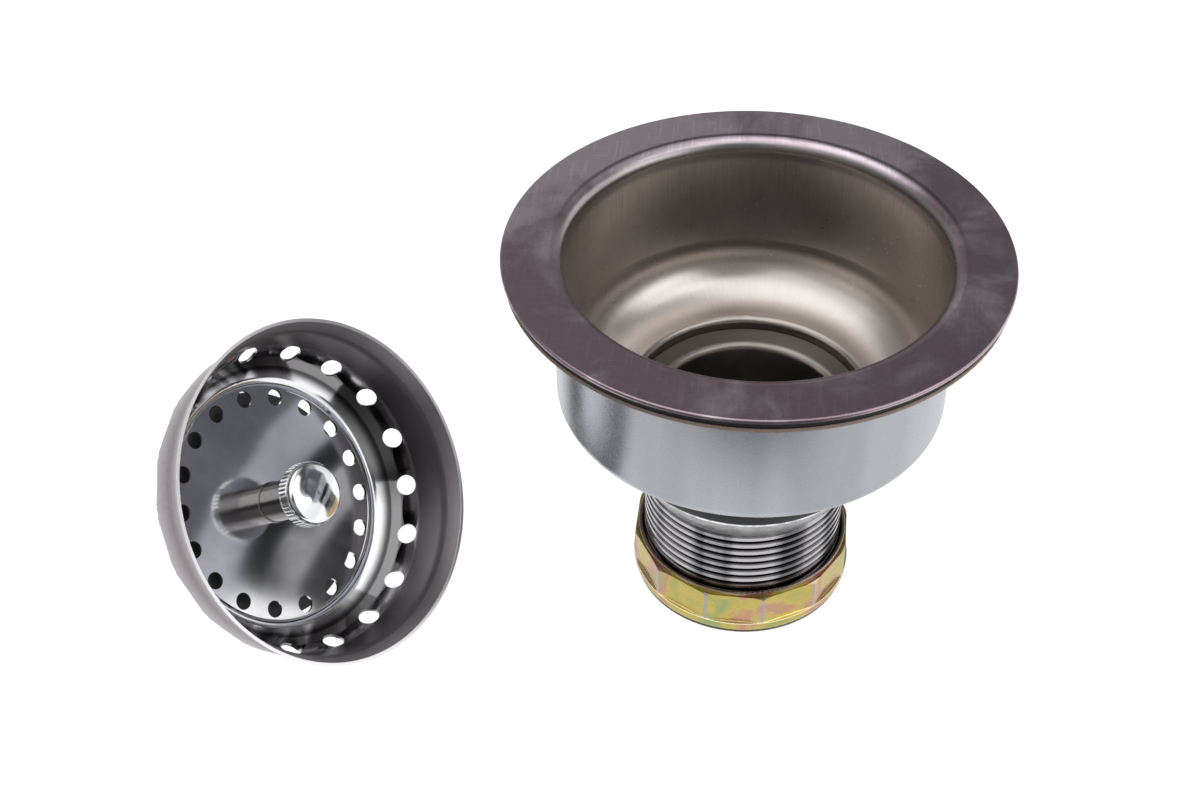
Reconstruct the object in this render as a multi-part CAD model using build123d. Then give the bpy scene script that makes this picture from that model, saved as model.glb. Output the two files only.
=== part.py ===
from build123d import *
import math
import os

# Basket strainer waste for a kitchen sink, with its lift-out basket lying beside it.
# Millimetres, +Z up. The origin is the centre of the outlet at the slip nut's lower face,
# which stands on the floor. The waste's axis is Z.

# Sink flange and drawn bowl
flange_top = 97.4
flange_width = 13.95
flange_edge_round = 0.5
mouth_r = 43.2
mouth_round = 3.0
flange_r = mouth_r + flange_width
bowl_sheet = 0.8
bowl_floor_z = 55.4
bowl_corner_r = 13.0
bowl_floor_width = 15.7
bead_r = mouth_r - bowl_floor_width
bead_round = 1.6
bead_drop = 3.2

# Rings under the flange
gasket_thickness = 2.05
gasket_inset = 0.95
fibre_thickness = 0.65
fibre_inset = 0.6
ring_clearance = 0.6
rings_bottom = flange_top - bowl_sheet - gasket_thickness - fibre_thickness

# Pressed locking cup, by its outer face
cup_sheet = 1.0
cup_gap = 0.5
cup_wall_r = mouth_r + bowl_sheet + cup_gap + cup_sheet
cup_rim_inset = 2.65
cup_rim_r = flange_r - cup_rim_inset
cup_rim_round = 1.2
cup_corner_z = 58.6
cup_corner_round = 3.0
cup_bottom_z = 48.6
cup_taper = 13.5
cup_bottom_r = cup_wall_r - cup_taper
cup_clearance = 0.5

# Spigot seamed into the bowl's floor
spigot_bore_r = 22.0
spigot_wall = 2.9
spigot_r = spigot_bore_r + spigot_wall
spigot_flange_width = 4.0
spigot_flange_r = bead_r + spigot_flange_width
spigot_flange_bottom = 49.9
spigot_end_z = 40.2
ledge_z = 52.4
well_edge_z = 51.0
well_edge_round = 1.8
seam_clearance = 0.15
thread_clearance = 0.05

# Seal and post guide trapped between spigot and tail piece
seal_thickness = 1.0
guide_thickness = 0.8
guide_hub_r = 8.0
guide_hole_r = 4.6
guide_arm_width = 4.5
guide_arms = 4
ring_play = 0.1

# Tail piece
shoulder_wall = 4.65
shoulder_r = spigot_r + thread_clearance + shoulder_wall
shoulder_bottom = 40.0
tail_thread_top = 31.4
tail_thread_r = 24.5
tail_wall = 3.9
tail_bore_r = tail_thread_r - tail_wall
tail_end_z = 4.4
tail_end_chamfer = 1.0

# Slip nut and its washer
nut_sides = 12
nut_wall = 1.45
nut_thread_clearance = 0.35
nut_flats_r = tail_thread_r + nut_thread_clearance + nut_wall
nut_corner_turn = 13.6
nut_flats_bottom = 3.6
nut_flats_top = 12.3
nut_top_z = 13.3
nut_corner_trim = 0.5
nut_foot_width = 0.8
nut_base_r = nut_flats_r + nut_foot_width
nut_base_round = 2.2
nut_collar_inset = 0.3
nut_collar_r = nut_flats_r - nut_collar_inset
nut_collar_round = 0.3
nut_mouth_chamfer = 0.4
nut_lip_width = 5.35
nut_lip_bore_r = tail_thread_r + nut_thread_clearance - nut_lip_width
nut_lip_thickness = 2.0
slip_washer_inset = 0.2
slip_washer_bore_r = nut_lip_bore_r + slip_washer_inset
slip_washer_clearance = 0.3

# Basket, by its outer face, in its own frame: the floor's upper face at z = 0, mouth up
basket_sheet = 0.7
basket_rim_r = 41.4
basket_height = 22.5
basket_flare_r = 39.3
basket_flare_z = 17.6
basket_flare_round = 6.0
basket_corner_r = 37.9
basket_corner_z = 6.8
basket_corner_round = 2.6
basket_floor_r = 30.3
basket_floor_round = 3.9
basket_step_r = 28.6
basket_step = 0.2
basket_holes = 18
floor_hole_r = 2.07
floor_hole_ring_r = 26.2
basket_hole_turn = 17.6
corner_hole_r = 2.55
corner_hole_ring_r = 37.1
corner_hole_z = 6.0
corner_hole_tilt = 38.0
facet_tilt = 28.0
facet_depth = 0.85
drill_length = 6.0

# Post and knob, in the basket's frame
post_r = 4.9
post_height = 13.0
collar_r = 5.15
collar_thickness = 0.4
collar_round = 0.15
shank_r = 3.0
shank_clearance = 0.05
stud_r = 2.5
stud_length = 3.0
knob_r = 7.9
knob_skirt = 2.7
knob_dome_r = 7.7
knob_dome_edge = 1.2
knob_dome_height = 2.9
knob_dome_round = 1.6
knurl_count = 48
knurl_depth = 0.3
knurl_width = 0.8

# Stopper, its fasteners and the post's tip, in the basket's frame
stopper_r = 28.3
stopper_drop = 5.3
stopper_lip_thickness = 1.2
stopper_lip_width = 3.0
stopper_hub_r = 9.0
stopper_hub_thickness = 5.7
stopper_web = 2.0
stopper_web_slope = 0.8
stopper_web_round = 1.5
stopper_dish = 0.6
stopper_lip_slope = 2.0
stopper_lip_round = 0.3
stopper_washer_margin = 1.5
stopper_washer_r = 11.0
stopper_washer_thickness = 1.0
stopper_nut_flats = 10.0
stopper_nut_thickness = 3.0
tip_r = 5.0
tip_centre_z = -26.8
tip_neck_r = 4.2
tip_neck_length = 8.0
tip_wall = 2.0

# Where the basket lies on the floor beside the waste: the centre of its rim in plan,
# the turn of its mouth about Z and the mouth's tilt up from level
basket_rim_x = -97.4
basket_rim_y = -25.9
basket_turn = -24.4
basket_tilt = 35.2


def outline(points, rounds=None):
    """Closed face through (radius, height) points, with a fillet at each numbered corner."""
    face = make_face(Polyline(*points, close=True))
    for index, radius in (rounds or {}).items():
        corner = face.vertices().sort_by_distance((*points[index], 0))[0]
        face = fillet(corner, radius)
    return Plane.XZ * face


def turned(points, rounds=None):
    """Solid of revolution about Z."""
    return revolve(outline(points, rounds), Axis.Z)


def rounded_line(points, rounds):
    """Open line through the points, with a fillet at each numbered corner."""
    line = Wire(Polyline(*points).edges())
    for index, radius in rounds.items():
        corner = line.vertices().sort_by_distance((*points[index], 0))[0]
        line = line.fillet_2d(radius, [corner])
    return line


def pressed(points, rounds, thickness, side):
    """Solid of revolution of a sheet, drawn along one of its faces."""
    line = rounded_line(points, rounds)
    section = make_face(line.offset_2d(thickness, side=side).edges())
    return revolve(Plane.XZ * section, Axis.Z)


def ring(inner_r, outer_r, bottom, top):
    """Flat ring."""
    return turned([(inner_r, bottom), (outer_r, bottom), (outer_r, top), (inner_r, top)])


def around(count, shape, turn=0.0, arc=360.0):
    """The shape repeated about Z."""
    return [Rot(Z=turn + arc * i / count) * shape for i in range(count)]


def make_flange_bowl():
    """Drawn bowl with the flat sink flange and a turned-down bead round its floor hole."""
    line = [
        (flange_r, flange_top),
        (mouth_r, flange_top),
        (mouth_r, bowl_floor_z),
        (bead_r, bowl_floor_z),
        (bead_r, bowl_floor_z - bead_drop),
    ]
    bowl = pressed(line, {1: mouth_round, 2: bowl_corner_r, 3: bead_round}, bowl_sheet, Side.LEFT)
    rim = bowl.edges().filter_by(GeomType.CIRCLE).group_by(SortBy.RADIUS)[-1].sort_by(Axis.Z)[-1]
    return fillet(rim, flange_edge_round)


def make_locking_cup():
    """Pressed cup round the bowl, with a rim under the fibre ring."""
    line = [
        (cup_rim_r, rings_bottom - cup_sheet),
        (cup_wall_r, rings_bottom - cup_sheet),
        (cup_wall_r, cup_corner_z),
        (cup_bottom_r, cup_bottom_z),
        (spigot_r + cup_clearance, cup_bottom_z),
    ]
    rounds = {1: cup_rim_round, 2: cup_corner_round, 3: cup_corner_round}
    return pressed(line, rounds, cup_sheet, Side.RIGHT)


def make_outlet_spigot():
    """Ring that carries the bowl's bead in a slot, with a neck down into the tail piece."""
    bead_outer_r = bead_r + bowl_sheet
    slot_bottom = bowl_floor_z - bead_drop - seam_clearance
    points = [
        (spigot_bore_r, spigot_end_z),
        (spigot_r, spigot_end_z),
        (spigot_r, spigot_flange_bottom),
        (spigot_flange_r, spigot_flange_bottom),
        (spigot_flange_r, bowl_floor_z - bowl_sheet),
        (bead_outer_r + seam_clearance, bowl_floor_z - bowl_sheet),
        (bead_outer_r + seam_clearance, slot_bottom),
        (bead_r - seam_clearance, slot_bottom),
        (bead_r - seam_clearance, ledge_z),
        (spigot_bore_r, well_edge_z),
    ]
    return turned(points, {5: bead_round - bowl_sheet + seam_clearance, 9: well_edge_round})


def make_post_guide():
    """Stamped ring with four arms and a central hole for the post's tip."""
    top = spigot_end_z - seal_thickness
    bottom = top - guide_thickness
    rim = ring(spigot_bore_r, spigot_r - ring_play, bottom, top)
    arm = Pos(0, 0, bottom) * Box(
        2 * spigot_bore_r + 1, guide_arm_width, guide_thickness,
        align=(Align.CENTER, Align.CENTER, Align.MIN),
    )
    guide = rim + around(guide_arms // 2, arm, 45, 180) + ring(0, guide_hub_r, bottom, top)
    return guide - ring(0, guide_hole_r, bottom - 1, top + 1)


def make_tail_piece():
    """Plated tail piece: socket for the spigot, shoulder, cone and the outer thread's body."""
    inner_r = spigot_r + thread_clearance
    ledge = spigot_end_z - seal_thickness - guide_thickness
    points = [
        (tail_bore_r, tail_end_z),
        (tail_thread_r - tail_end_chamfer, tail_end_z),
        (tail_thread_r, tail_end_z + tail_end_chamfer),
        (tail_thread_r, tail_thread_top),
        (shoulder_r, shoulder_bottom),
        (shoulder_r, cup_bottom_z),
        (inner_r, cup_bottom_z),
        (inner_r, ledge),
        (tail_bore_r, ledge),
    ]
    return turned(points)


def make_slip_nut():
    """Nut with a round foot, twelve flats cut above it, a collar, and a lip for the washer."""
    corner_r = nut_flats_r / math.cos(math.pi / nut_sides)
    bore_r = tail_thread_r + nut_thread_clearance
    sides = RegularPolygon(corner_r, nut_sides, rotation=nut_corner_turn)
    prism = extrude(Plane.XY.offset(nut_flats_bottom) * sides, nut_flats_top - nut_flats_bottom)
    envelope = turned([
        (0, nut_flats_bottom),
        (corner_r, nut_flats_bottom),
        (corner_r, nut_flats_top - nut_corner_trim),
        (corner_r - nut_corner_trim, nut_flats_top),
        (0, nut_flats_top),
    ])
    base = turned([
        (0, 0),
        (nut_base_r, 0),
        (nut_base_r, nut_flats_bottom),
        (nut_collar_r, nut_flats_bottom),
        (nut_collar_r, nut_top_z),
        (0, nut_top_z),
    ], {1: nut_base_round, 4: nut_collar_round})
    bore = turned([
        (0, -1),
        (nut_lip_bore_r, -1),
        (nut_lip_bore_r, nut_lip_thickness),
        (bore_r, nut_lip_thickness),
        (bore_r, nut_top_z - nut_mouth_chamfer),
        (bore_r + nut_mouth_chamfer + 1, nut_top_z + 1),
        (0, nut_top_z + 1),
    ])
    return (prism & envelope) + base - bore


def basket_outer_line():
    """The basket's outer face in section, from the rim down to the middle of the floor."""
    line = [
        (basket_rim_r, basket_height),
        (basket_flare_r, basket_flare_z),
        (basket_corner_r, basket_corner_z),
        (basket_floor_r, basket_step - basket_sheet),
        (0, basket_step - basket_sheet),
    ]
    rounds = {1: basket_flare_round, 2: basket_corner_round, 3: basket_floor_round}
    return rounded_line(line, rounds)


def filled(line, top):
    """Solid of revolution inside a line that ends on the axis, closed by a level top."""
    end = line.vertices().sort_by(Axis.Y)[-1]
    corners = [(0, line.bounding_box().min.Y), (0, top), (end.X, top)]
    if top > end.Y:
        corners.append((end.X, end.Y))
    return revolve(Plane.XZ * make_face(line.edges() + Polyline(*corners).edges()), Axis.Z)


def facet_cuts(depth):
    """Blocks that trim the flats round the basket's corner, to a depth below its tangent."""
    middle = Vector(basket_corner_r, 0, basket_corner_z)
    outward = Vector(math.cos(math.radians(facet_tilt)), 0, -math.sin(math.radians(facet_tilt)))
    side = basket_corner_r
    block = Box(side, side, side, align=(Align.CENTER, Align.CENTER, Align.MIN))
    cut = Plane(origin=middle - outward * depth, z_dir=outward) * block
    return around(basket_holes, cut, basket_hole_turn + 180 / basket_holes)


def make_basket_shell():
    """Basket with its floor holes, corner holes and the flats between them."""
    outer_line = basket_outer_line()
    inner_line = outer_line.offset_2d(basket_sheet, side=Side.RIGHT, closed=False)
    body = filled(outer_line, basket_height) - facet_cuts(facet_depth)
    cavity = filled(inner_line, basket_height + 5) - facet_cuts(facet_depth + basket_sheet)
    shell = body - cavity
    shell -= ring(0, basket_step_r - 0.1, 0, 1)
    shell += ring(0, basket_step_r + 0.1, -basket_sheet, basket_step - basket_sheet)
    shell -= Cylinder(shank_r + shank_clearance, drill_length)
    drill = Pos(floor_hole_ring_r, 0, 0) * Cylinder(floor_hole_r, drill_length)
    shell -= around(basket_holes, drill, basket_hole_turn)
    slant = Pos(corner_hole_ring_r, 0, corner_hole_z) * Rot(Y=90 + corner_hole_tilt)
    drill = slant * Cylinder(corner_hole_r, drill_length)
    return shell - around(basket_holes, drill, basket_hole_turn)


def make_basket_post():
    """Turned post with a foot collar, a stud for the knob and a shank through the floor."""
    shank_end = tip_centre_z - tip_wall
    return turned([
        (0, shank_end),
        (shank_r, shank_end),
        (shank_r, 0),
        (collar_r, 0),
        (collar_r, collar_thickness),
        (post_r, collar_thickness),
        (post_r, post_height),
        (stud_r, post_height),
        (stud_r, post_height + stud_length),
        (0, post_height + stud_length),
    ], {4: collar_round})


def make_knob():
    """Knob with a knurled skirt and a domed top, bored from below for the post's stud."""
    skirt_top = post_height + knob_skirt
    skirt = turned([(0, post_height), (knob_r, post_height), (knob_r, skirt_top), (0, skirt_top)])
    groove = make_face(Polyline(
        (knob_r - knurl_depth, 0),
        (knob_r + 0.1, knurl_width / 2),
        (knob_r + 0.1, -knurl_width / 2),
        close=True,
    ))
    skirt -= around(knurl_count, extrude(Plane.XY.offset(post_height) * groove, knob_skirt))
    rise = knob_dome_height - knob_dome_edge
    crown_r = (knob_dome_r**2 + rise**2) / (2 * rise)
    crown_centre = (0, skirt_top + knob_dome_height - crown_r)
    crown_angle = math.degrees(math.asin(knob_dome_r / crown_r))
    crown = CenterArc(crown_centre, crown_r, 90 - crown_angle, crown_angle)
    sides = Polyline(crown @ 1, (0, skirt_top - 0.5), (knob_dome_r, skirt_top - 0.5), crown @ 0)
    dome_face = make_face(crown.edges() + sides.edges())
    shoulder = dome_face.vertices().sort_by_distance(crown @ 0)[0]
    dome = revolve(Plane.XZ * fillet(shoulder, knob_dome_round), Axis.Z)
    bore = ring(0, stud_r + shank_clearance, post_height - 1, post_height + stud_length)
    return skirt + dome - bore


def make_basket_stopper():
    """Dished rubber stopper with a hub against the floor and a sealing lip."""
    bore_r = shank_r + shank_clearance
    hub_top = -basket_sheet
    hub_bottom = hub_top - stopper_hub_thickness
    web_bottom = hub_bottom + stopper_dish
    web_top = web_bottom + stopper_web
    lip_bottom = -stopper_drop - stopper_lip_thickness
    lip_inner_r = stopper_r - stopper_lip_width
    return turned([
        (bore_r, hub_top),
        (stopper_hub_r, hub_top),
        (stopper_hub_r, web_top),
        (lip_inner_r, web_top - stopper_web_slope),
        (stopper_r, -stopper_drop),
        (stopper_r, lip_bottom),
        (lip_inner_r, lip_bottom),
        (lip_inner_r - stopper_lip_slope, web_bottom),
        (stopper_washer_r + stopper_washer_margin, web_bottom),
        (stopper_washer_r + stopper_washer_margin, hub_bottom),
        (bore_r, hub_bottom),
    ], {2: stopper_web_round, 4: stopper_lip_round, 5: stopper_lip_round})


def make_stopper_nut():
    """Plain hexagon nut."""
    corner_r = stopper_nut_flats / 2 / math.cos(math.pi / 6)
    sides = RegularPolygon(corner_r, 6) - Circle(shank_r + shank_clearance)
    top = -basket_sheet - stopper_hub_thickness - stopper_washer_thickness
    return extrude(Plane.XY.offset(top - stopper_nut_thickness) * sides, stopper_nut_thickness)


def make_post_tip():
    """Rounded tip with a neck, bored for the shank's end."""
    bulb = Pos(0, 0, tip_centre_z) * Sphere(tip_r)
    neck = ring(0, tip_neck_r, tip_centre_z, tip_centre_z + tip_neck_length)
    neck_end = tip_centre_z + tip_neck_length
    bore = ring(0, shank_r + shank_clearance, tip_centre_z - tip_wall, neck_end + 1)
    return bulb + neck - bore


def make_waste():
    """The pieces of the waste, by name."""
    gasket_top = flange_top - bowl_sheet
    fibre_top = gasket_top - gasket_thickness
    rings_inner_r = mouth_r + mouth_round + ring_clearance
    seal_bottom = spigot_end_z - seal_thickness
    washer_r = tail_thread_r + nut_thread_clearance - slip_washer_clearance
    return {
        "flange_bowl": make_flange_bowl(),
        "sealing_gasket": ring(rings_inner_r, flange_r - gasket_inset, fibre_top, gasket_top),
        "friction_ring": ring(rings_inner_r, flange_r - fibre_inset, rings_bottom, fibre_top),
        "locking_cup": make_locking_cup(),
        "outlet_spigot": make_outlet_spigot(),
        "spigot_seal": ring(spigot_bore_r, spigot_r - ring_play, seal_bottom, spigot_end_z),
        "post_guide": make_post_guide(),
        "tail_piece": make_tail_piece(),
        "slip_washer": ring(slip_washer_bore_r, washer_r, nut_lip_thickness, tail_end_z),
        "slip_nut": make_slip_nut(),
    }


def make_basket():
    """The pieces of the basket, by name, lying on the floor."""
    washer_top = -basket_sheet - stopper_hub_thickness
    washer_bottom = washer_top - stopper_washer_thickness
    pieces = {
        "basket_shell": make_basket_shell(),
        "basket_post": make_basket_post(),
        "knob": make_knob(),
        "basket_stopper": make_basket_stopper(),
        "stopper_washer": ring(
            shank_r + shank_clearance, stopper_washer_r, washer_bottom, washer_top
        ),
        "stopper_nut": make_stopper_nut(),
        "post_tip": make_post_tip(),
    }
    lying = Pos(basket_rim_x, basket_rim_y, 0) * Rot(Z=basket_turn) * Rot(Y=90 - basket_tilt)
    lying *= Pos(0, 0, -basket_height)
    laid = {name: lying * piece for name, piece in pieces.items()}
    lowest = min(piece.bounding_box().min.Z for piece in laid.values())
    return {name: Pos(0, 0, -lowest) * piece for name, piece in laid.items()}


os.makedirs("parts", exist_ok=True)
for name, piece in {**make_waste(), **make_basket()}.items():
    export_step(piece, f"parts/{name}.step")
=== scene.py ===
import math

import bpy
from mathutils import Matrix, Vector


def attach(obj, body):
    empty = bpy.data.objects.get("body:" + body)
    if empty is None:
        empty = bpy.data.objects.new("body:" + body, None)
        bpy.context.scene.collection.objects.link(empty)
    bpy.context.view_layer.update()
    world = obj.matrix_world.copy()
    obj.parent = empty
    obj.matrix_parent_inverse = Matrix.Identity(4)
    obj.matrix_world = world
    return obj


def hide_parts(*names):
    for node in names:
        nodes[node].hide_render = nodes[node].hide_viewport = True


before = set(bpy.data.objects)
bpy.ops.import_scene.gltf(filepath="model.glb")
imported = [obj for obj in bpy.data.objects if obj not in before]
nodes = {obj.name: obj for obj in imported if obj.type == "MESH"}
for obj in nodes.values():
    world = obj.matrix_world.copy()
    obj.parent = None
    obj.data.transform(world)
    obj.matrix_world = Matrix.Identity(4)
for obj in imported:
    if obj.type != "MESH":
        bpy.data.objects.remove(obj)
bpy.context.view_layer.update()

# Sizes in metres, in the frame of the CAD parts

MM = 0.001
# Tail piece: socket, shoulder, cone and outer thread
SOCKET_R = 24.95 * MM
SOCKET_FLOOR = 38.4 * MM
BORE_R = 20.6 * MM
SHOULDER_R = 29.6 * MM
SHOULDER_TOP = 48.6 * MM
SHOULDER_BOTTOM = 40.0 * MM
THREAD_TOP = 31.4 * MM
THREAD_END = 4.4 * MM
THREAD_CHAMFER = 1.0 * MM
THREAD_CREST_R = 24.5 * MM
THREAD_ROOT_R = 23.2 * MM
THREAD_PITCH = 25.4 / 11 * MM
# Where the outer thread's groove starts round the axis
THREAD_START = math.radians(-68.0)
# Turns in which the groove fades out at its top, and the groove's form as (turn, depth)
THREAD_RUNOUT = 0.35
THREAD_FORM = ((0.0, 0.0), (0.07, 0.35), (0.16, 0.93), (0.23, 1.0), (0.36, 1.0),
               (0.43, 0.93), (0.52, 0.35), (0.59, 0.0), (0.80, 0.0))
# Angle between faces from which an edge stays sharp
SHARP_FROM = math.radians(32)
# Basket: the centre of its floor, and the turn and tilt of its axis
BASKET_PLACE = (-114.144 * MM, -18.305 * MM, 26.754 * MM)
BASKET_TURN = math.radians(-24.4)
BASKET_TILT = math.radians(35.2)
# Nut's foot, inside which the floor has no glow, and the floor's two parts of white
FOOT_R = 26.5 * MM
FLOOR_GLOW = 0.90
FLOOR_PAPER = 0.4
# Front edge of the floor, in front of what the camera sees
FLOOR_FRONT = -130.0 * MM
FLOOR_SIZE = 3.0
# Flange's inner edge, where the bowl's mouth starts to turn down
MOUTH_EDGE_R = 46.2 * MM
# Bowl, as pairs between which its colour changes: heights of the flange, of the rolled edge with its painted
# shade at the back, of the streaks by the mouth and by the floor and of the lower corner's painted highlight,
# then the radii over which the floor's painted shade fades out
FLANGE_Z = (96.2 * MM, 97.1 * MM)
ROLL_SHADE_Z = (91.5 * MM, 93.5 * MM)
MOUTH_STREAKS_Z = (78 * MM, 94 * MM)
FLOOR_STREAKS_Z = (62 * MM, 72 * MM)
CORNER_SHEEN_Z = (64 * MM, 69 * MM)
FLOOR_SHADE_R = (30.0 * MM, 34.5 * MM)
# Well under the bowl
WELL_R = 22.0 * MM
# Nut: the turn of its corners and the heights between which its flats lie
NUT_CORNER_TURN = 13.6
NUT_SIDES = 12
NUT_FLATS = (3.6 * MM, 12.3 * MM)
# Basket's outer wall in its own frame: radius and height at the corner, and its rise outward
BASKET_CORNER = (37.9 * MM, 6.8 * MM)
BASKET_WALL_SLOPE = 0.13
BASKET_SHEET = 0.7 * MM
BASKET_HEIGHT = 22.5 * MM
# Heights between which the corner turns into the wall, and over which the wall's painted shade lightens
# upwards
BASKET_WALL_Z = (7.8 * MM, 10.0 * MM)
BASKET_WALL_SHADE_Z = (8.5 * MM, 19.5 * MM)
# Radii between which the floor ends and each painted reflection ring of the cone and corner starts
BASKET_CONE_R = (31.0 * MM, 33.0 * MM)
BASKET_REFLECTION_RINGS = (
    (BASKET_CONE_R, (0.07, 0.068, 0.07)),
    ((33.2 * MM, 33.6 * MM), (0.22, 0.215, 0.22)),
    ((35.0 * MM, 35.5 * MM), (0.09, 0.087, 0.09)),
    ((36.2 * MM, 36.8 * MM), (0.50, 0.49, 0.51)),
)
# Light tent's level by the height of the direction, from straight down (0) to straight up (1)
TENT_LEVELS = (
    (0.00, 0.08),
    (0.48, 0.10),
    (0.54, 0.16),
    (0.70, 0.30),
    (0.76, 0.30),
    (0.83, 0.09),
    (0.87, 0.14),
    (0.93, 0.60),
)
# Square lamps: name, place, side in metres and power in watts. All point at one place
LAMPS = (
    ("key", (-0.25, -0.2, 0.9), 1.2, 3.6),
    ("fill", (0.7, -0.3, 0.7), 0.8, 2.5),
)
LAMP_AIM = (0, 0, 0.05)
# Camera: place, then yaw, downward pitch and roll in degrees, then lens and sensor in millimetres
CAMERA_PLACE = (0.0, -323.3 * MM, 336.4 * MM)
CAMERA_TURN = (-6.28, 41.39, -0.85)
LENS = 54
SENSOR = 36


def rgba(colour):
    """Four channels from a grey or three."""
    if isinstance(colour, (int, float)):
        colour = (colour, colour, colour)
    return (*colour[:3], 1.0)


def scaled(colour, factor):
    return tuple(min(1.0, channel * factor) for channel in colour)


basket_frame = bpy.data.objects.new("basket_frame", None)
basket_frame.matrix_world = (
    Matrix.Translation(BASKET_PLACE)
    @ Matrix.Rotation(BASKET_TURN, 4, "Z")
    @ Matrix.Rotation(math.radians(90) - BASKET_TILT, 4, "Y")
)
bpy.context.collection.objects.link(basket_frame)

# Node helpers


class Nodes:
    """Short calls for building a node tree."""

    def __init__(self, tree):
        self.tree = tree
        tree.nodes.clear()

    def add(self, kind, **settings):
        node = self.tree.nodes.new(kind)
        for key, value in settings.items():
            setattr(node, key, value)
        return node

    def set(self, socket, value):
        """Links a socket, or sets a constant."""
        if isinstance(value, bpy.types.NodeSocket):
            self.tree.links.new(value, socket)
        else:
            socket.default_value = value

    def math(self, operation, a, b=None, c=None, clamp=False):
        node = self.add("ShaderNodeMath", operation=operation, use_clamp=clamp)
        for index, value in enumerate((a, b, c)):
            if value is not None:
                self.set(node.inputs[index], value)
        return node.outputs[0]

    def ramp(self, value, stops, mode="LINEAR"):
        """Colour ramp. Stops are (position, grey or colour)."""
        node = self.add("ShaderNodeValToRGB")
        node.color_ramp.interpolation = mode
        elements = node.color_ramp.elements
        while len(elements) < len(stops):
            elements.new(0.5)
        for element, (position, colour) in zip(elements, stops):
            element.position = position
            element.color = rgba(colour)
        self.set(node.inputs[0], value)
        return node.outputs[0]

    def span(self, value, low, high, to_low=0.0, to_high=1.0, smooth=True):
        """Maps low..high to to_low..to_high, clamped."""
        node = self.add("ShaderNodeMapRange", clamp=True)
        node.interpolation_type = "SMOOTHSTEP" if smooth else "LINEAR"
        for index, number in enumerate((value, low, high, to_low, to_high)):
            self.set(node.inputs[index], number)
        return node.outputs[0]

    def mix(self, factor, a, b, blend="MIX"):
        node = self.add("ShaderNodeMix", data_type="RGBA", blend_type=blend)
        self.set(node.inputs[0], factor)
        self.set(node.inputs[6], a if isinstance(a, bpy.types.NodeSocket) else rgba(a))
        self.set(node.inputs[7], b if isinstance(b, bpy.types.NodeSocket) else rgba(b))
        return node.outputs[2]

    def join(self, x, y, z):
        node = self.add("ShaderNodeCombineXYZ")
        for index, value in enumerate((x, y, z)):
            self.set(node.inputs[index], value)
        return node.outputs[0]

    def split(self, vector):
        node = self.add("ShaderNodeSeparateXYZ")
        self.set(node.inputs[0], vector)
        return node.outputs

    def noise(self, vector, scale, detail=2.0, rough=0.5, distortion=0.0):
        node = self.add("ShaderNodeTexNoise")
        self.set(node.inputs["Vector"], vector)
        node.inputs["Scale"].default_value = scale
        node.inputs["Detail"].default_value = detail
        node.inputs["Roughness"].default_value = rough
        node.inputs["Distortion"].default_value = distortion
        return node.outputs["Fac"]

    def bump(self, height, strength, distance, normal=None):
        node = self.add("ShaderNodeBump")
        node.inputs["Strength"].default_value = strength
        node.inputs["Distance"].default_value = distance
        self.set(node.inputs["Height"], height)
        if normal is not None:
            self.set(node.inputs["Normal"], normal)
        return node.outputs[0]

    def position(self, in_basket=False):
        """Surface position in the object's frame, or in the basket's own frame."""
        node = self.add("ShaderNodeTexCoord")
        if in_basket:
            node.object = basket_frame
        return node.outputs["Object"]

    def radius(self, place):
        """Distance of a position from Z."""
        x, y, z = self.split(place)
        return self.math("SQRT", self.math("ADD", self.math("MULTIPLY", x, x), self.math("MULTIPLY", y, y)))

    def turns(self, place):
        """Angle of a position about Z, in turns."""
        x, y, z = self.split(place)
        return self.math("DIVIDE", self.math("ARCTAN2", y, x), 2 * math.pi)

    def stretched(self, place, scales):
        """Position with each coordinate times its own scale."""
        axes = zip(self.split(place), scales)
        return self.join(*(self.math("MULTIPLY", axis, scale) for axis, scale in axes))


# Materials


def material(name):
    made = bpy.data.materials.new(name)
    made.use_nodes = True
    tree = Nodes(made.node_tree)
    output = tree.add("ShaderNodeOutputMaterial")
    shader = tree.add("ShaderNodeBsdfPrincipled")
    tree.tree.links.new(shader.outputs[0], output.inputs[0])
    return made, tree, shader.inputs


def metal(name, in_basket=False):
    """Metal material with its tree, inputs and position, ready for colour and detail."""
    made, tree, inputs = material(name)
    inputs["Metallic"].default_value = 1.0
    place = tree.position(in_basket)
    return made, tree, inputs, place


def streaks(tree, place, around, along, across, seed=0.0):
    """Fine noise drawn out round Z: scales per turn, per metre of height and of radius."""
    angle = tree.math("MULTIPLY", tree.turns(place), 2 * math.pi)
    x = tree.math("MULTIPLY", tree.math("COSINE", angle), around)
    y = tree.math("MULTIPLY", tree.math("SINE", angle), around)
    lift = tree.math("MULTIPLY", tree.split(place)[2], along)
    spread = tree.math("ADD", tree.math("MULTIPLY", tree.radius(place), across), seed)
    return tree.noise(tree.join(x, y, tree.math("ADD", lift, spread)), 1.0, 3.0)


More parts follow.
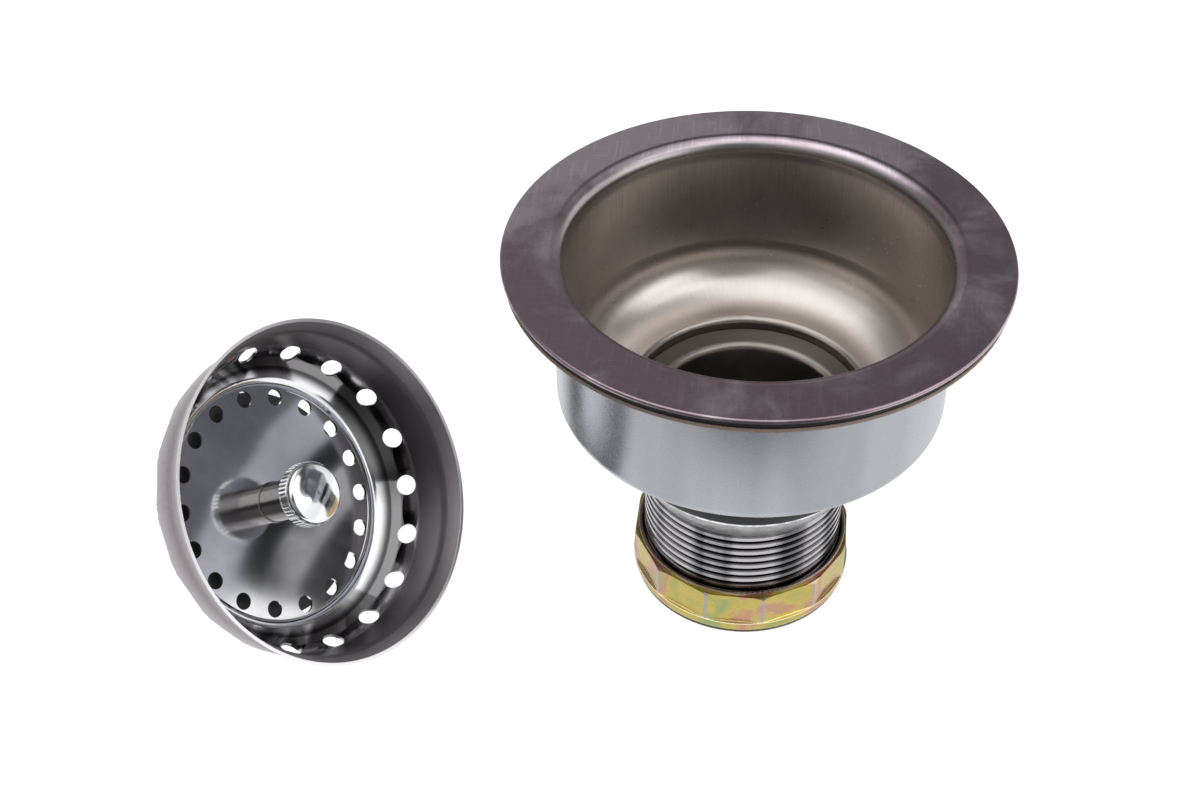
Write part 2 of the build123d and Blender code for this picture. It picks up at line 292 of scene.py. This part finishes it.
def bowl_material():
    """Stainless steel: a hazed flange with scratches, and a satin bowl with drawn streaks. The flange is
    painted lighter towards the back and left, and a dark line of painted shade runs along the back of its
    inner edge; the bowl has a painted highlight round its lower corner, and painted shade on its floor and at
    the back of its rolled edge.
    """
    made, tree, inputs, place = metal("bowl_steel_look")
    x, y, height = tree.split(place)
    radius = tree.radius(place)
    on_flange = tree.span(height, *FLANGE_Z)
    cloud = tree.noise(place, 26.0, 3.0, 0.55)
    fine = tree.noise(place, 700.0, 2.0, 0.6)
    drawn = streaks(tree, place, 150.0, 90.0, 90.0)
    near_mouth = tree.span(height, *MOUTH_STREAKS_Z, 0.25, 1.0)
    near_floor = tree.span(height, *FLOOR_STREAKS_Z, 0.7, 0.0)
    streaked = tree.math("MAXIMUM", near_mouth, near_floor)
    wall = tree.mix(tree.span(cloud, 0.3, 0.7), (0.55, 0.50, 0.47), (0.65, 0.60, 0.565))
    dark = tree.math("MULTIPLY", tree.span(drawn, 0.45, 0.75), tree.math("MULTIPLY", streaked, 0.35))
    wall = tree.mix(dark, wall, (0.22, 0.19, 0.18))
    # Painted highlight: a brighter ring round the bowl's lower corner
    corner = tree.span(height, *CORNER_SHEEN_Z, 0.55, 0.0)
    wall = tree.mix(corner, wall, (0.74, 0.69, 0.655))
    # Painted shade: the bowl's floor darkened inside the bead
    floor_shade = tree.span(radius, *FLOOR_SHADE_R, 0.5, 0.0)
    wall = tree.mix(floor_shade, wall, (0.20, 0.168, 0.152))
    # Painted shade on the rolled edge, growing towards the back
    roll = tree.math("MULTIPLY", tree.span(height, *ROLL_SHADE_Z), tree.span(y, -20 * MM, 30 * MM, 0.0, 0.75))
    wall = tree.mix(roll, wall, (0.24, 0.225, 0.23))
    # Flange tone: random hazy patches, plus painted light that makes the flange lighter towards the back and
    # left
    haze_and_sheen = tree.noise(place, 45.0, 5.0, 0.62, 0.4)
    haze_and_sheen = tree.math("ADD", haze_and_sheen, tree.math("MULTIPLY_ADD", y, 2.6, tree.math("MULTIPLY", x, -0.9)))
    top = tree.mix(tree.span(haze_and_sheen, 0.38, 0.62), (0.36, 0.275, 0.315), (0.66, 0.57, 0.63))
    along = tree.stretched(place, (1500, 90, 0))
    across = tree.stretched(place, (170, 1300, 0))
    scratch = tree.math("MAXIMUM", tree.span(tree.noise(along, 1.0, 2.0), 0.57, 0.67),
                        tree.span(tree.noise(across, 1.0, 2.0), 0.60, 0.70))
    # Real scratches, drawn stronger where the flange is painted lighter
    scratches_and_sheen = tree.math("MULTIPLY", scratch, tree.span(haze_and_sheen, 0.45, 0.65, 0.08, 0.45))
    top = tree.mix(scratches_and_sheen, top, (0.90, 0.82, 0.88))
    # Painted shade: a thin dark line along the flange's inner edge, at the back only
    mouth_shade_line = tree.math("MULTIPLY", tree.span(radius, MOUTH_EDGE_R - 0.5 * MM, MOUTH_EDGE_R),
                         tree.span(radius, MOUTH_EDGE_R + 0.3 * MM, MOUTH_EDGE_R + 1.1 * MM, 0.7, 0.0))
    mouth_shade_line = tree.math("MULTIPLY", mouth_shade_line, tree.span(y, -10 * MM, 35 * MM))
    top = tree.mix(mouth_shade_line, top, (0.10, 0.07, 0.09))
    tree.set(inputs["Base Color"], tree.mix(on_flange, wall, top))
    rough = tree.math("ADD", tree.math("MULTIPLY", fine, 0.08), 0.25)
    tree.set(inputs["Roughness"], rough)
    drawn = tree.math("MULTIPLY", drawn, streaked)
    lift = tree.math("MULTIPLY", drawn, tree.math("SUBTRACT", 1.0, on_flange))
    tree.set(inputs["Normal"], tree.bump(lift, 0.4, 0.00006))
    return made


def plain_metal(name, colour, rough, grain=0.0):
    """Metal of one colour, with a faint cloud and, where asked for, a fine grain."""
    made, tree, inputs, place = metal(name)
    inputs["Roughness"].default_value = rough
    cloud = tree.noise(place, 120.0, 3.0, 0.6)
    shade = tree.mix(tree.span(cloud, 0.3, 0.7), colour, scaled(colour, 1.12))
    tree.set(inputs["Base Color"], shade)
    if grain:
        tree.set(inputs["Normal"], tree.bump(tree.noise(place, 2500.0, 2.0), grain, 0.00005))
    return made


def well_material():
    """Cast zinc: the top face painted dark as shade, and a lighter well inside."""
    made, tree, inputs, place = metal("cast_zinc_look")
    inputs["Roughness"].default_value = 0.34
    cloud = tree.noise(place, 120.0, 3.0, 0.6)
    # Painted shade on the top face, outside the well
    upper_shade = tree.span(tree.radius(place), WELL_R + 1.0 * MM, WELL_R + 2.0 * MM)
    shade = tree.mix(tree.span(cloud, 0.3, 0.7), (0.26, 0.24, 0.22), (0.33, 0.305, 0.285))
    tree.set(inputs["Base Color"], tree.mix(upper_shade, shade, (0.11, 0.097, 0.09)))
    tree.set(inputs["Normal"], tree.bump(tree.noise(place, 2500.0, 2.0), 0.1, 0.00005))
    return made


def cup_material():
    """Blue zinc plate: satin, with faint upright bands."""
    made, tree, inputs, place = metal("blue_zinc_look")
    bands = streaks(tree, place, 2.2, 4.0, 0.0, 3.0)
    grain = tree.noise(place, 420.0, 4.0, 0.65)
    shade = tree.mix(tree.span(bands, 0.35, 0.65), (0.325, 0.335, 0.37), (0.42, 0.43, 0.465))
    shade = tree.mix(tree.span(grain, 0.3, 0.7, 0.0, 0.07), shade, (0.55, 0.56, 0.60))
    tree.set(inputs["Base Color"], shade)
    tree.set(inputs["Roughness"], tree.math("MULTIPLY_ADD", grain, 0.05, 0.25))
    return made


def thread_material():
    """Plated casting: crests with painted light and dark stripes standing in for reflections, roots painted
    near black as shade, a satin cone, a painted highlight along the shoulder's lower edge and painted shadow
    on the shoulder under the cup.
    """
    made, tree, inputs, place = metal("plated_casting_look")
    radius = tree.radius(place)
    height = tree.split(place)[2]
    cloud = tree.noise(place, 300.0, 4.0, 0.65)
    # Painted shade: the thread's roots near black, the crests lighter
    crest = tree.span(radius, THREAD_ROOT_R + 0.3 * MM, THREAD_CREST_R - 0.1 * MM)
    # Painted reflection: light and dark stripes round the crests, standing in for their reflections
    crest_sheen = tree.span(streaks(tree, place, 2.4, 3.0, 0.0, 1.0), 0.40, 0.60)
    plate = tree.mix(crest_sheen, (0.13, 0.127, 0.133), (0.46, 0.45, 0.465))
    thread = tree.mix(crest, (0.04, 0.038, 0.042), plate)
    cone = tree.mix(tree.span(cloud, 0.3, 0.7), (0.26, 0.26, 0.275), (0.42, 0.42, 0.435))
    # Painted highlight: a bright line along the shoulder's lower edge
    edge = tree.mix(tree.span(cloud, 0.35, 0.6), (0.45, 0.45, 0.46), (0.95, 0.95, 0.95))
    # Painted shadow: the shoulder under the cup near black
    shoulder = (0.022, 0.023, 0.026)
    on_cone = tree.span(height, THREAD_TOP - 0.9 * MM, THREAD_TOP + 0.6 * MM)
    on_edge_glint = tree.span(height, SHOULDER_BOTTOM - 0.5 * MM, SHOULDER_BOTTOM - 0.2 * MM)
    above = tree.span(height, SHOULDER_BOTTOM + 0.2 * MM, SHOULDER_BOTTOM + 0.5 * MM)
    above = tree.math("MULTIPLY", above, tree.math("GREATER_THAN", radius, THREAD_CREST_R + 1.0 * MM))
    shade = tree.mix(on_cone, thread, cone)
    shade = tree.mix(on_edge_glint, shade, edge)
    tree.set(inputs["Base Color"], tree.mix(above, shade, shoulder))
    cast = tree.math("MULTIPLY_ADD", cloud, 0.2, 0.22)
    bright = tree.math("MULTIPLY_ADD", cloud, 0.12, 0.04)
    blend = tree.add("ShaderNodeMix", data_type="FLOAT")
    for index, value in zip((0, 2, 3), (on_cone, bright, cast)):
        tree.set(blend.inputs[index], value)
    tree.set(inputs["Roughness"], blend.outputs[0])
    tree.set(inputs["Normal"], tree.bump(tree.math("MULTIPLY", cloud, on_cone), 0.3, 0.0001))
    return made


def nut_material():
    """Yellow zinc plate: olive gold with pink and green patches, greyer at the corners, with painted shade on
    its top face and painted light on the step below the flats.
    """
    made, tree, inputs, place = metal("yellow_zinc_look")
    height = tree.split(place)[2]
    cloud = tree.noise(place, 82.0, 4.0, 0.6, 0.9)
    colour = tree.ramp(cloud, (
        (0.30, (0.26, 0.36, 0.17)),
        (0.40, (0.42, 0.38, 0.12)),
        (0.50, (0.52, 0.42, 0.12)),
        (0.58, (0.50, 0.27, 0.20)),
        (0.66, (0.44, 0.33, 0.16)),
        (0.76, (0.30, 0.38, 0.20)),
    ))
    first = 0.5 - NUT_CORNER_TURN * NUT_SIDES / 360
    sector = tree.math("FRACT", tree.math("MULTIPLY_ADD", tree.turns(place), NUT_SIDES, first))
    off_corner = tree.math("ABSOLUTE", tree.math("SUBTRACT", sector, 0.5))
    on_flats = tree.math("MULTIPLY", tree.span(height, NUT_FLATS[0] - 0.3 * MM, NUT_FLATS[0]),
                         tree.span(height, NUT_FLATS[1], NUT_FLATS[1] + 0.2 * MM, 1.0, 0.0))
    corner = tree.math("MULTIPLY", tree.span(off_corner, 0.02, 0.045, 0.7, 0.0), on_flats)
    colour = tree.mix(corner, colour, (0.36, 0.33, 0.38))
    # Painted shade on the nut's top face
    nut_top_shade = tree.span(height, NUT_FLATS[1] + 0.1 * MM, NUT_FLATS[1] + 0.5 * MM, 0.0, 0.75)
    colour = tree.mix(nut_top_shade, colour, (0.26, 0.19, 0.18))
    # Painted light: the step below the flats lightened
    ledge_light = tree.math("MULTIPLY", tree.span(height, NUT_FLATS[0] - 0.4 * MM, NUT_FLATS[0] - 0.1 * MM),
                      tree.span(height, NUT_FLATS[0] + 0.1 * MM, NUT_FLATS[0] + 0.3 * MM, 1.0, 0.0))
    colour = tree.mix(ledge_light, colour, (0.95, 0.85, 0.55))
    tree.set(inputs["Base Color"], colour)
    grain = tree.noise(place, 700.0, 3.0, 0.6)
    tree.set(inputs["Roughness"], tree.math("MULTIPLY_ADD", grain, 0.2, 0.18))
    tree.set(inputs["Normal"], tree.bump(grain, 0.15, 0.00006))
    return made


def basket_material():
    """Stainless steel: a bright floor, painted reflection rings on the cone and corner, a satin wall painted
    dark as shade, darkest near the floor, and a paler satin outside with a darker painted ring round its
    middle and a painted highlight on its top edge.
    """
    made, tree, inputs, place = metal("polished_steel_look", True)
    radius = tree.radius(place)
    height = tree.split(place)[2]
    wall_r = tree.math("MULTIPLY_ADD", tree.math("SUBTRACT", height, BASKET_CORNER[1]), BASKET_WALL_SLOPE,
                       BASKET_CORNER[0] - BASKET_SHEET / 2)
    outside = tree.math("GREATER_THAN", radius, wall_r)
    on_wall = tree.span(height, *BASKET_WALL_Z)
    on_cone = tree.span(radius, *BASKET_CONE_R)
    grain = tree.noise(place, 160.0, 4.0, 0.6)
    brushed = streaks(tree, place, 30.0, 1100.0, 0.0)
    inner = tree.mix(tree.span(grain, 0.3, 0.7), (0.74, 0.74, 0.76), (0.84, 0.84, 0.86))
    # Painted reflection rings on the cone and corner
    for edge, colour in BASKET_REFLECTION_RINGS:
        inner = tree.mix(tree.span(radius, *edge), inner, colour)
    # Painted shade: the inner wall dark, darkest near the floor
    wall = tree.mix(tree.span(height, *BASKET_WALL_SHADE_Z), (0.11, 0.10, 0.108), (0.205, 0.19, 0.20))
    inner = tree.mix(on_wall, inner, wall)
    # Painted reflection: darker round the middle of the outside, lighter at its foot and top
    outer_reflection_band = tree.ramp(tree.math("DIVIDE", height, BASKET_HEIGHT), (
        (0.10, (0.40, 0.39, 0.40)),
        (0.42, (0.38, 0.355, 0.375)),
        (0.66, (0.19, 0.165, 0.175)),
        (0.80, (0.24, 0.21, 0.225)),
        (0.95, (0.40, 0.375, 0.395)),
    ))
    outer = tree.mix(tree.span(brushed, 0.35, 0.7, 0.0, 0.1), outer_reflection_band, (0.50, 0.47, 0.50))
    shade = tree.mix(outside, inner, outer)
    # Painted highlight: a bright line on the top edge
    lip_highlight = tree.span(height, BASKET_HEIGHT - 0.25 * MM, BASKET_HEIGHT - 0.1 * MM)
    tree.set(inputs["Base Color"], tree.mix(lip_highlight, shade, (0.85, 0.83, 0.85)))
    satin = tree.math("MAXIMUM", on_wall, outside)
    hazed = tree.math("MULTIPLY", tree.math("SUBTRACT", 1.0, on_cone), 0.045)
    rough = tree.math("MAXIMUM", tree.math("MULTIPLY", satin, 0.28), hazed)
    tree.set(inputs["Roughness"], tree.math("ADD", rough, 0.06))
    tree.set(inputs["Normal"], tree.bump(tree.math("MULTIPLY", brushed, satin), 0.15, 0.00005))
    return made


def dull(name, colour, rough, bumps=0.0):
    """Rubber, fibre or plastic with a fine grain."""
    made, tree, inputs = material(name)
    inputs["Roughness"].default_value = rough
    grain = tree.noise(tree.position(), 900.0, 4.0, 0.65)
    tree.set(inputs["Base Color"], tree.mix(grain, scaled(colour, 0.75), scaled(colour, 1.2)))
    if bumps:
        tree.set(inputs["Normal"], tree.bump(grain, bumps, 0.0002))
    return made


# Meshes


def mesh_object(name, vertices, faces, look, body="waste"):
    mesh = bpy.data.meshes.new(name)
    mesh.from_pydata(vertices, [], faces)
    mesh.materials.append(look)
    made = bpy.data.objects.new(name, mesh)
    bpy.context.collection.objects.link(made)
    mesh.shade_smooth()
    mesh.set_sharp_from_angle(angle=SHARP_FROM)
    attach(made, body)
    return made


def lathe(profile, segments=240):
    """Vertices and faces of an open profile of (radius, height) turned about Z."""
    vertices = []
    for radius, height in profile:
        for step in range(segments):
            turn = 2 * math.pi * step / segments
            vertices.append((radius * math.cos(turn), radius * math.sin(turn), height))
    faces = []
    for row in range(len(profile) - 1):
        for step in range(segments):
            nxt = (step + 1) % segments
            low, high = row * segments, (row + 1) * segments
            faces.append((low + step, low + nxt, high + nxt, high + step))
    return vertices, faces


def thread_depth(turns):
    """How deep the groove is, from 1 to 0, at a number of turns above the tail's end."""
    last = (THREAD_TOP - THREAD_END) / THREAD_PITCH - THREAD_RUNOUT
    return max(0.0, min(1.0, (last - turns) / THREAD_RUNOUT))


def thread_surface(segments=240):
    """Right-hand helical thread, as rows that follow the helix and end level."""
    low, high = THREAD_END + THREAD_CHAMFER, THREAD_TOP
    rows = []
    for turn in range(-2, int((high - low) / THREAD_PITCH) + 2):
        rows += [(turn + place, depth) for place, depth in THREAD_FORM]
    vertices, faces = [], []
    for place, depth in rows:
        for step in range(segments + 1):
            turns = place + step / segments
            height = min(high, max(low, low + turns * THREAD_PITCH))
            radius = THREAD_CREST_R - (THREAD_CREST_R - THREAD_ROOT_R) * depth * thread_depth(turns)
            angle = 2 * math.pi * step / segments + THREAD_START
            vertices.append((radius * math.cos(angle), radius * math.sin(angle), height))
    width = segments + 1
    for row in range(len(rows) - 1):
        for step in range(segments):
            a, b = row * width + step, (row + 1) * width + step
            faces.append((a, a + 1, b + 1, b))
    return vertices, faces


def tail_piece(look):
    body = (
        (THREAD_CREST_R, THREAD_TOP), (SHOULDER_R, SHOULDER_BOTTOM), (SHOULDER_R, SHOULDER_TOP),
        (SOCKET_R, SHOULDER_TOP), (SOCKET_R, SOCKET_FLOOR), (BORE_R, SOCKET_FLOOR),
        (BORE_R, THREAD_END), (THREAD_CREST_R - THREAD_CHAMFER, THREAD_END),
        (THREAD_CREST_R, THREAD_END + THREAD_CHAMFER),
    )
    vertices, faces = lathe(body)
    more, extra = thread_surface()
    count = len(vertices)
    faces = [tuple(reversed(face)) for face in faces]
    faces += [tuple(count + index for index in face) for face in extra]
    made = mesh_object("tail_thread", vertices + more, faces, look)
    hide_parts("tail_piece")
    return made


# Dress the CAD parts


def dress(node, look):
    slots = nodes[node].material_slots
    for slot in slots:
        slot.material = look


RUBBER = dull("black_rubber_look", (0.02, 0.02, 0.022), 0.55, 0.1)
STEEL = plain_metal("stamped_steel_look", (0.46, 0.46, 0.47), 0.35, 0.1)
CHROME = plain_metal("chrome_plate_look", (0.78, 0.79, 0.81), 0.11)
LOOKS = {
    "flange_bowl": bowl_material(),
    "sealing_gasket": RUBBER,
    "friction_ring": dull("fibre_look", (0.40, 0.31, 0.25), 0.8, 0.3),
    "locking_cup": cup_material(),
    "outlet_spigot": well_material(),
    "spigot_seal": RUBBER,
    "post_guide": STEEL,
    "slip_washer": dull("nylon_look", (0.80, 0.80, 0.76), 0.5),
    "slip_nut": nut_material(),
    "basket_shell": basket_material(),
    # Painted shade: the post's chrome much darker than the knob's
    "basket_post": plain_metal("chrome_painted_dark_look", (0.24, 0.222, 0.215), 0.09),
    "knob": CHROME,
    "basket_stopper": RUBBER,
    "stopper_washer": STEEL,
    "stopper_nut": STEEL,
    "post_tip": dull("tip_plastic_look", (0.05, 0.05, 0.05), 0.4),
}
for node, look in LOOKS.items():
    dress(node, look)
tail_piece(thread_material())

# Floor, surroundings, lights and camera


def white_floor():
    """Pale floor with a glow of its own outside the tail piece. Lamps add the rest up to white."""
    mesh = bpy.data.meshes.new("floor")
    corners = ((-1, 0), (1, 0), (1, 1), (-1, 1))
    vertices = [(x * FLOOR_SIZE, y * FLOOR_SIZE + FLOOR_FRONT, 0) for x, y in corners]
    mesh.from_pydata(vertices, [], [(0, 1, 2, 3)])
    floor = bpy.data.objects.new("floor", mesh)
    bpy.context.collection.objects.link(floor)
    made = bpy.data.materials.new("floor_white")
    made.use_nodes = True
    tree = Nodes(made.node_tree)
    output = tree.add("ShaderNodeOutputMaterial")
    paper = tree.add("ShaderNodeBsdfDiffuse")
    paper.inputs["Color"].default_value = rgba(FLOOR_PAPER)
    glow = tree.add("ShaderNodeEmission")
    path = tree.add("ShaderNodeLightPath")
    seen = tree.math("ADD", path.outputs["Is Camera Ray"], path.outputs["Is Glossy Ray"])
    seen = tree.math("ADD", seen, path.outputs["Is Transmission Ray"], clamp=True)
    outside = tree.math("GREATER_THAN", tree.radius(tree.position()), FOOT_R)
    tree.set(glow.inputs["Strength"], tree.math("MULTIPLY", tree.math("MULTIPLY", seen, outside), FLOOR_GLOW))
    both = tree.add("ShaderNodeAddShader")
    tree.set(both.inputs[0], paper.outputs[0])
    tree.set(both.inputs[1], glow.outputs[0])
    tree.tree.links.new(both.outputs[0], output.inputs[0])
    floor.data.materials.append(made)


def surroundings():
    """White to the camera. To the metal, a light tent: bright above, with darker walls."""
    world = bpy.data.worlds.new("studio")
    bpy.context.scene.world = world
    world.use_nodes = True
    tree = Nodes(world.node_tree)
    output = tree.add("ShaderNodeOutputWorld")
    direction = tree.add("ShaderNodeTexCoord").outputs["Generated"]
    x, y, z = tree.split(direction)
    level = tree.ramp(tree.math("MULTIPLY_ADD", z, 0.5, 0.5), TENT_LEVELS)
    # The tent is brighter on the left, and has a bright low panel on the right
    leftward = tree.span(x, -0.15, 0.15, 1.25, 0.85)
    low = tree.span(z, 0.45, 0.65, 1.0, 0.0)
    panel = tree.math("MULTIPLY", tree.span(x, 0.55, 0.8, 0.0, 0.95), low)
    light = tree.math("ADD", tree.math("MULTIPLY", level, leftward), panel)
    tent = tree.add("ShaderNodeBackground")
    tree.set(tent.inputs["Color"], light)
    tent.inputs["Strength"].default_value = 1.0
    white = tree.add("ShaderNodeBackground")
    white.inputs["Color"].default_value = rgba(1.0)
    white.inputs["Strength"].default_value = 1.0
    path = tree.add("ShaderNodeLightPath")
    choose = tree.add("ShaderNodeMixShader")
    tree.set(choose.inputs[0], path.outputs["Is Camera Ray"])
    tree.set(choose.inputs[1], tent.outputs[0])
    tree.set(choose.inputs[2], white.outputs[0])
    tree.tree.links.new(choose.outputs[0], output.inputs[0])


def area_light(name, place, size, power):
    data = bpy.data.lights.new(name, "AREA")
    data.shape = "SQUARE"
    data.size = size
    data.energy = power
    lamp = bpy.data.objects.new(name, data)
    lamp.location = place
    lamp.rotation_euler = (Vector(LAMP_AIM) - Vector(place)).to_track_quat("-Z", "Y").to_euler()
    bpy.context.collection.objects.link(lamp)


def camera():
    yaw, pitch, roll = (math.radians(angle) for angle in CAMERA_TURN)
    ahead = Vector((math.sin(yaw) * math.cos(pitch), math.cos(yaw) * math.cos(pitch), -math.sin(pitch)))
    level = Vector((math.cos(yaw), -math.sin(yaw), 0))
    up = level.cross(ahead)
    right = math.cos(roll) * level + math.sin(roll) * up
    up = math.cos(roll) * up - math.sin(roll) * level
    data = bpy.data.cameras.new("camera")
    data.lens = LENS
    data.sensor_width = SENSOR
    data.clip_start = 0.01
    lens = bpy.data.objects.new("camera", data)
    turn = Matrix((right, up, -ahead)).transposed()
    lens.matrix_world = Matrix.Translation(CAMERA_PLACE) @ turn.to_4x4()
    bpy.context.collection.objects.link(lens)
    bpy.context.scene.camera = lens


white_floor()
surroundings()
for lamp in LAMPS:
    area_light(*lamp)
camera()
bpy.context.scene.view_settings.view_transform = "Standard"
